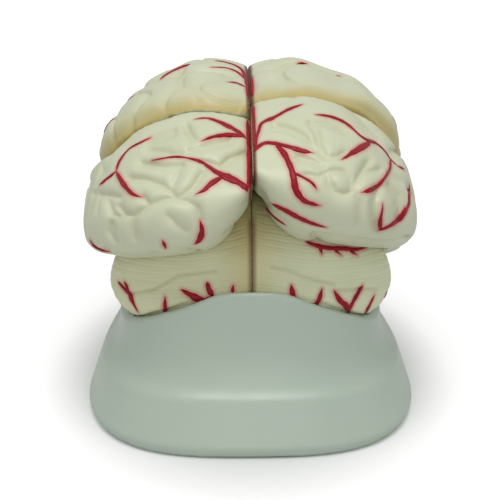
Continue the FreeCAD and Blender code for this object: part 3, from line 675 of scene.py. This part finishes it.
# Arteries: the view they are drawn in, widths from start to end, then their way. "picture" is in pixels
# and "beside" in millimetres of (y, z), seen from the model's own side.
arteryRuns = {
    ("left", "front"): [
        ("picture", (2, 4, 3, 3, 1), [(165, 79), (171, 74), (183, 68), (195, 64), (205, 62)]),
        ("picture", (1, 3, 5), [(115.6, 119), (121, 111), (128, 104)]),
        ("picture", (1, 2.5, 4, 4, 3), [(212, 60), (229, 62), (243, 67), (249, 75), (250.4, 88)]),
        ("picture", (1, 2, 3, 2), [(215, 67), (231, 68), (243, 73), (249, 80)]),
        ("picture", (1, 3, 3), [(231, 82), (240, 83), (248.5, 87)]),
        ("picture", (2.4, 3, 3), [(250.6, 66), (250.6, 80), (250.6, 96)]),
        ("beside", (0.8, 2, 2.2, 1.7, 0.7),
         [(49, 81), (43, 86), (40, 93), (33, 97), (31, 105), (24, 110), (22, 117)]),
        ("beside", (1.6, 1.2, 0.6), [(40, 93), (44, 98), (45, 106)]),
        ("beside", (0.8, 1.9, 1.8, 1.4, 0.7),
         [(31, 88), (24, 94), (16, 97), (10, 104), (3, 107), (-2, 114)]),
        ("beside", (1.4, 1.1, 0.6), [(16, 97), (11, 94), (5, 96)]),
        ("beside", (0.8, 1.7, 1.4, 0.7), [(53, 80), (59, 86), (60, 94), (65, 100), (64, 108)]),
    ],
    ("left", "rear"): [
        ("picture", (1, 3.2, 2.2, 3.4, 2.4),
         [(153, 137), (145, 141), (132, 148), (122, 160), (118, 171)]),
        ("picture", (2.6, 3.6, 4.6, 3.4, 2),
         [(118, 171), (109, 178), (100, 184.5), (94, 180), (92, 177)]),
        ("picture", (2.4, 4, 3, 1), [(118, 171), (124.6, 183), (133, 193), (143, 197)]),
        ("picture", (0.8, 1.6, 3.6, 1.6, 4, 5.2, 7, 8, 5.4, 3.4),
         [(153, 160), (164, 158), (177, 156.5), (190, 158), (203, 162), (214, 169.5), (224, 175),
          (235, 180.5), (243, 185), (248, 192)]),
        ("picture", (4.4, 4.6, 3.2, 1), [(222, 177), (212, 183), (204, 190), (196, 194)]),
        ("picture", (0.8, 2.2, 4.6, 6.6, 5, 4),
         [(197, 119), (209, 118), (221, 121.5), (232, 127), (242, 133), (248, 139)]),
        ("picture", (0.8, 2.6, 4, 5, 4),
         [(203, 141), (213, 137), (225, 135), (237, 135), (245, 137)]),
        ("picture", (1.2, 3.6, 5, 3), [(200, 220), (202, 229), (200, 239), (195, 244)]),
        ("picture", (1.6, 4), [(163, 240), (164.5, 244), (166, 248)]),
        ("picture", (1.2, 3.2, 3.2, 2.2, 0.8),
         [(92, 239), (95.5, 244.5), (102, 248.5), (109, 250.5), (117, 251)]),
        ("picture", (3, 3.6, 3.6, 3.4, 2),
         [(250.2, 113), (250.2, 130), (250.2, 150), (250, 170), (248, 190)]),
        ("beside", (0.8, 2, 2.2, 1.7, 0.7),
         [(39, 70), (30, 66), (20, 70), (9, 67), (-1, 73), (-12, 76)]),
        ("beside", (1.5, 1.2, 0.6), [(9, 67), (3, 61), (-5, 60)]),
    ],
    ("left", "cerebellum"): [
        ("picture", (2.4, 3.4, 5, 2.4, 3),
         [(120, 281), (126, 288), (131, 293), (134, 301), (142, 316)]),
        ("picture", (2.4, 3.4), [(126, 281), (128.5, 286), (131, 292)]),
        ("picture", (0.8, 3.2, 5.4), [(166, 296), (166, 304), (165, 313)]),
        ("picture", (1.4, 4, 6, 5, 4),
         [(182, 289), (192, 295), (200, 299), (207, 300), (214, 296)]),
        ("picture", (3.6, 4.2, 5), [(208, 282), (210, 290), (214, 296)]),
        ("picture", (1, 4.6), [(234, 285), (233.5, 289), (233, 293)]),
        ("picture", (2, 3.4), [(233.5, 221), (231.5, 223), (229, 226)]),
        ("picture", (3, 3.4), [(211, 236), (211.5, 240), (212, 245)]),
    ],
    ("right", "front"): [
        ("picture", (1, 3, 1), [(302, 64), (307, 63.4), (312, 64)]),
        ("picture", (1, 3, 1.4), [(336, 77), (341, 76), (345, 77)]),
        ("picture", (2, 3, 3), [(255.6, 66), (255.6, 80), (255.6, 96)]),
        ("beside", (0.8, 1.9, 2.2, 1.6, 0.7),
         [(47, 80), (42, 87), (36, 90), (33, 98), (27, 103), (25, 112), (19, 116)]),
        ("beside", (1.6, 1.2, 0.6), [(33, 98), (37, 104), (36, 111)]),
        ("beside", (0.8, 1.8, 1.8, 1.4, 0.7),
         [(28, 88), (22, 95), (13, 96), (9, 103), (1, 108), (0, 114)]),
        ("beside", (0.8, 1.6, 1.4, 0.7), [(54, 82), (59, 89), (65, 93), (66, 101), (62, 107)]),
        ("beside", (1.2, 1, 0.6), [(65, 93), (69, 91), (72, 94)]),
    ],
    ("right", "rear"): [
        ("picture", (0.8, 4.2, 3.4, 4.8, 3, 2.4, 2.4),
         [(305, 104.5), (291, 109.5), (277, 117), (264, 123), (260.5, 130), (257.5, 140),
          (256, 150)]),
        ("picture", (0.8, 3, 4.4, 4.4, 2.6, 4.4, 4.8, 3, 1.8, 1.6),
         [(317, 115), (328, 116), (339, 119), (350, 125), (362, 136), (370, 141), (377, 143),
          (386, 150.5), (393, 160), (400, 167)]),
        ("picture", (2, 5, 5), [(400, 167), (403.5, 168.5), (407, 170)]),
        ("picture", (4.4, 5.4, 5, 3.4, 1),
         [(372, 143), (363, 148), (355, 152.5), (348, 157), (342, 160.5)]),
        ("picture", (2, 2.6, 2.2, 3.2, 4, 1),
         [(393, 160), (391.5, 170), (384, 181), (377, 187.5), (370, 191), (362, 193)]),
        ("picture", (3.4, 5, 4.6, 4, 4.6, 4, 1),
         [(256, 151), (260, 146), (266.5, 143), (276, 143.5), (290, 147), (303, 151), (314, 153)]),
        ("picture", (3.4, 5, 4.2, 4.6, 5, 5, 4, 3, 0.8),
         [(277, 145), (283, 151), (287.5, 159), (292, 170), (294, 179), (296, 190), (303, 200),
          (312, 204), (321, 206)]),
        ("picture", (2.6, 2.2, 2.6, 1), [(294, 173), (306, 179), (313, 184), (317, 190)]),
        ("picture", (2.6, 2.6, 2.8, 3.4, 4.8, 4, 3),
         [(256, 166), (256.4, 178), (258.5, 190), (262, 199), (267.5, 208.5), (276, 218),
          (286, 225)]),
        ("picture", (3, 4.6, 5, 4.2, 3.4, 1),
         [(268, 202), (276, 206), (287, 211.5), (300, 218.5), (313, 224), (327, 228)]),
        ("picture", (1.4, 3, 4.4, 5, 4, 3.4, 3),
         [(412, 186), (411.5, 196), (409.5, 206), (404, 216), (396, 223), (388, 228), (379, 231)]),
        ("picture", (4, 3, 1.8, 0.8), [(381, 230), (381, 221), (383, 211), (383.5, 204)]),
        ("picture", (3, 3, 3), [(255.8, 106), (255.8, 125), (255.6, 146)]),
        ("beside", (0.8, 2, 2.2, 1.7, 0.7),
         [(41, 68), (31, 70), (22, 66), (11, 70), (1, 68), (-10, 77)]),
        ("beside", (1.5, 1.2, 0.6), [(22, 66), (15, 60), (6, 59)]),
    ],
    ("right", "cerebellum"): [
        ("picture", (2, 4.4, 5, 2), [(292, 285), (294, 297), (297, 304), (303, 309)]),
        ("picture", (1.6, 3.4, 4, 3), [(323, 289), (320, 300), (315, 307), (309, 313)]),
        ("picture", (1.6, 4, 4.6, 5), [(335, 291), (341, 301), (347, 306), (351, 313)]),
        ("picture", (2.6, 3.4, 3.4, 3), [(364, 286), (358, 296), (353, 305), (350, 313)]),
        ("picture", (1.4, 3, 6), [(376, 296), (371, 306), (367, 314)]),
        ("picture", (1, 2.4, 2), [(389, 292), (387, 297), (384, 303)]),
        ("picture", (2, 3.6, 3.4, 3.6, 3, 1),
         [(307, 242), (318, 246), (330, 248.5), (345, 249), (357, 250), (369, 248)]),
        ("picture", (3.6, 3.6, 1.4), [(321, 246), (322, 250), (323, 255)]),
        ("picture", (2.4, 2.4, 1), [(334, 248), (338, 252), (343, 256)]),
        ("picture", (2.4, 2.6, 1), [(348, 249), (353, 252), (359, 256)]),
    ],
}
vessel = {
    "pitch": 1.1,  # mm between rings
    "pitchPixels": 2.42,  # to a mm, along a drawn way
    "width": 1.22 / 2.35,  # mm to a drawn pixel: 2.35 pixels to a mm, and a little fuller
    "leap": 6,  # mm: a longer step means that the ray slipped past an edge
    "rise": 0.5,  # mm over the vinyl
    "sink": 0.12,  # mm into it
    "wobble": (0.08, 1.7),
    "segments": 10,
    "blush": 0.75,
    "blushReach": 0.9,  # mm
    "blushEnd": 2.5,  # mm
}


def rayOf(look, place, side):
    if look == "picture":
        column, row = place
        across = Vector((1, 0, 0)) * ((column - view["column"]) / view["focal"])
        upwards = viewUp * ((view["row"] - row) / view["focal"])
        return viewEye, (across + upwards - viewBack).normalized()
    y, z = place
    return Vector((side * 0.3, y * millimetre, z * millimetre)), Vector((-side, 0, 0))


def curved(path, pitch):  # a smooth run through the drawn places, as (place, share of the way)
    ends = [path[0]] + list(path) + [path[-1]]
    total = sum(math.dist(start, end) for start, end in zip(path, path[1:]))
    run = []
    gone = 0
    for before, start, end, after in zip(ends, ends[1:], ends[2:], ends[3:]):
        length = math.dist(start, end)
        count = max(1, round(length / pitch))
        for step in range(count):
            s = step / count
            place = [0.5 * (2 * b + (c - a) * s + (2 * a - 5 * b + 4 * c - d) * s * s
                            + (3 * b - a - 3 * c + d) * s ** 3)
                     for a, b, c, d in zip(before, start, end, after)]
            run.append((place, (gone + length * s) / total))
        gone += length
    run.append((path[-1], 1))
    return run


def widthAt(widths, share):
    place = share * (len(widths) - 1)
    index = min(len(widths) - 2, int(place))
    return widths[index] + (widths[index + 1] - widths[index]) * smooth(0, 1, place - index)


def tracedPlaces(ground, look, path, side):  # the longest unbroken stretch that the drawn way hits
    pitch = vessel["pitch"] * (vessel["pitchPixels"] if look == "picture" else 1)
    stretches = []
    for place, share in curved(path, pitch):
        start, heading = rayOf(look, place, side)
        hit, outward, face, distance = ground.ray_cast(start, heading)
        if hit is None:
            continue
        if not stretches or (hit - stretches[-1][-1][0]).length > vessel["leap"] * millimetre:
            stretches.append([])
        stretches[-1].append((hit, outward, share))
    return max(stretches, key=len, default=[])


def addVessel(shape, ground, look, widths, path, side):
    places = tracedPlaces(ground, look, path, side)
    if len(places) < 3:
        return
    scale = vessel["width"] if look == "picture" else 1
    swing, pace = vessel["wobble"]
    rings = []
    for index, (hit, outward, share) in enumerate(places):
        before = places[max(0, index - 1)]
        after = places[min(len(places) - 1, index + 1)]
        upright = (before[1] + outward * 2 + after[1]).normalized()
        along = (after[0] - before[0]).normalized()
        sideways = along.cross(upright).normalized()
        tip = min(1, 0.35 + index / 2, 0.2 + (len(places) - 1 - index) / 2.5)  # tapers at both ends
        wobble = 1 + swing * math.sin(index * pace + path[0][0])
        width = widthAt(widths, share) * scale * tip * wobble
        rise = vessel["rise"] * min(1, 0.4 + 0.5 * width)
        ring = Matrix((sideways * width / 2 * millimetre, upright * rise * millimetre, along))
        ring = ring.transposed().to_4x4()
        ring.translation = hit - upright * vessel["sink"] * millimetre
        made = bmesh.ops.create_circle(shape, cap_ends=False, segments=vessel["segments"], radius=1,
                                       matrix=ring)
        rings.append({edge for vertex in made["verts"] for edge in vertex.link_edges})
    for first, second in zip(rings, rings[1:]):
        bmesh.ops.bridge_loops(shape, edges=list(first | second))
    openEdges = [edge for edge in rings[0] | rings[-1] if edge.is_boundary]
    bmesh.ops.holes_fill(shape, edges=openEdges, sides=vessel["segments"])


def blushAround(piece, shape):  # the red spreads a little into the vinyl beside it
    blush = piece.data.attributes.new("blush", "FLOAT", "POINT")
    vessels = BVHTree.FromBMesh(shape)
    for vertex in piece.data.vertices:
        hit, outward, face, distance = vessels.find_nearest(vertex.co, vessel["blushEnd"] * millimetre)
        if hit is not None:
            off = distance / millimetre / vessel["blushReach"]
            blush.data[vertex.index].value = vessel["blush"] * math.exp(-off ** 2)


for (name, region), runs in arteryRuns.items():
    carrier = pieces[name, region]
    ground = BVHTree.FromPolygons([vertex.co for vertex in carrier.data.vertices],
                                  [face.vertices for face in carrier.data.polygons])
    shape = bmesh.new()
    for look, widths, path in runs:
        addVessel(shape, ground, look, widths, path, sides[name])
    bmesh.ops.recalc_face_normals(shape, faces=shape.faces)
    for face in shape.faces:
        face.smooth = True
    blushAround(carrier, shape)
    mesh = bpy.data.meshes.new(name + region.capitalize() + "Arteries")
    shape.to_mesh(mesh)
    shape.free()
    stands(addObject(mesh.name, mesh, red), name + "_" + region + "_arteries")
print("arteries laid")


# Base
moulding = {  # mm
    "grid": 0.95,
    "softening": 4,
    "lip": 0.06,
    "lipHeight": 22,
    "lipReach": 1.2,
}


def baseLift(point, outward):  # the skirt's upper edge stands out as a fine lip
    if outward.x * point.x + outward.y * point.y <= 0:
        return 0, 0
    above = point.z / millimetre - moulding["lipHeight"]
    return moulding["lip"] * math.exp(-(above / moulding["lipReach"]) ** 2), 0


base = evenCopy("baseMoulding", "base", basePlastic, moulding)
carve(base, baseLift)
stands(base, "base")

for node, solid in frame["nodes"].items():
    if "pin" in node:
        solid.data.materials.clear()
        solid.data.materials.append(steel)
print("base and pins done")


# Floor, light and camera
stage = {
    "radius": 4,  # metres
    "drop": 0.2,  # mm
    "grey": 0.74,
    "stretch": (14.3, 10, 0),  # the glow grows away from the foot, further in front than beside, so that it paints a soft shadow round the base
    "near": (0.8, 1.25, 0, 0.36),  # from, to, then the glow there; the low glow at the foot is painted shadow
    "far": (1.25, 6, 0, 0.4),
}


def mathOf(tree, operation, first, second):
    node = tree.nodes.new("ShaderNodeMath")
    node.operation = operation
    tree.links.new(first, node.inputs[0])
    tree.links.new(second, node.inputs[1])
    return node.outputs["Value"]


def footDistance(tree):  # in stretched steps from the middle of the foot
    stretched = tree.nodes.new("ShaderNodeVectorMath")
    stretched.operation = "MULTIPLY"
    stretched.inputs[1].default_value = stage["stretch"]
    tree.links.new(tree.nodes.new("ShaderNodeTexCoord").outputs["Object"], stretched.inputs[0])
    away = tree.nodes.new("ShaderNodeVectorMath")
    away.operation = "LENGTH"
    tree.links.new(stretched.outputs["Vector"], away.inputs[0])
    return away.outputs["Value"]


def addStage():
    shape = bmesh.new()
    bmesh.ops.create_circle(shape, cap_ends=True, segments=96, radius=stage["radius"])
    mesh = bpy.data.meshes.new("floor")
    shape.to_mesh(mesh)
    shape.free()
    material, tree, shader = newMaterial("paleFloor", 0.9, 0.1)
    shader.inputs["Base Color"].default_value = (stage["grey"], stage["grey"], stage["grey"], 1)
    away = footDistance(tree)
    # the floor shows white to the camera, less so near the foot, which paints a soft shadow round the
    # base
    glowLowAtFoot = mathOf(tree, "ADD", rangeOf(tree, away, *stage["near"]), rangeOf(tree, away, *stage["far"]))
    seen = tree.nodes.new("ShaderNodeLightPath").outputs["Is Camera Ray"]
    lit = tree.nodes.new("ShaderNodeEmission")
    lit.inputs["Color"].default_value = (1, 1, 1, 1)
    tree.links.new(mathOf(tree, "MULTIPLY", seen, glowLowAtFoot), lit.inputs["Strength"])
    both = tree.nodes.new("ShaderNodeAddShader")
    tree.links.new(shader.outputs["BSDF"], both.inputs[0])
    tree.links.new(lit.outputs["Emission"], both.inputs[1])
    tree.links.new(both.outputs["Shader"], tree.nodes["Material Output"].inputs["Surface"])
    floor = addObject("floor", mesh, material)
    floor.location.z = -stage["drop"] * millimetre


def addWorld(level):  # even light, with a white background behind it
    world = bpy.data.worlds.new("studio")
    bpy.context.scene.world = world
    world.use_nodes = True
    tree = world.node_tree
    light = tree.nodes["Background"]
    light.inputs["Color"].default_value = (1, 1, 1, 1)
    light.inputs["Strength"].default_value = level
    seen = tree.nodes.new("ShaderNodeBackground")
    seen.inputs["Color"].default_value = (1, 1, 1, 1)
    seen.inputs["Strength"].default_value = 1
    path = tree.nodes.new("ShaderNodeLightPath")
    mix = tree.nodes.new("ShaderNodeMixShader")
    tree.links.new(path.outputs["Is Camera Ray"], mix.inputs["Fac"])
    tree.links.new(light.outputs["Background"], mix.inputs[1])
    tree.links.new(seen.outputs["Background"], mix.inputs[2])
    tree.links.new(mix.outputs["Shader"], tree.nodes["World Output"].inputs["Surface"])


lamps = {  # metres and watts
    "topSoft": {"place": (-0.02, -0.3, 1.15), "size": 0.6, "power": 6.3},
    "frontSoft": {"place": (0.1, -1.3, 0.35), "size": 0.8, "power": 1},
}
lampTarget = Vector((0, 0, 0.08))


def addLamp(name, look):
    data = bpy.data.lights.new(name, "AREA")
    data.shape = "DISK"
    data.size = look["size"]
    data.energy = look["power"]
    lamp = bpy.data.objects.new(name, data)
    lamp.location = look["place"]
    lamp.rotation_euler = (lampTarget - Vector(look["place"])).to_track_quat("-Z", "Y").to_euler()
    bpy.context.scene.collection.objects.link(lamp)


framing = {"turn": -1, "pivot": -0.072, "pixels": 0.7}  # degrees, metres forwards, and sideways


def addCamera():  # the drawn view, turned a little about the rear of the model
    camera = bpy.data.cameras.new("camera")
    camera.sensor_width = 36
    camera.lens = view["focal"] * camera.sensor_width / view["size"]
    holder = bpy.data.objects.new("camera", camera)
    sideways = view["size"] / 2 - view["column"] + framing["pixels"]
    pivot = Vector((0, framing["pivot"], view["height"]))
    turn = math.radians(framing["turn"])
    place = viewEye + Vector((sideways * view["distance"] / view["focal"], 0, 0))
    holder.location = pivot + Matrix.Rotation(turn, 3, "Z") @ (place - pivot)
    holder.rotation_euler = (math.radians(90 - view["elevation"]), 0, turn)
    bpy.context.scene.collection.objects.link(holder)
    bpy.context.scene.camera = holder


addStage()
addWorld(0.52)
for name, look in lamps.items():
    addLamp(name, look)
addCamera()
bpy.context.scene.view_settings.view_transform = "Standard"
print("stage set")
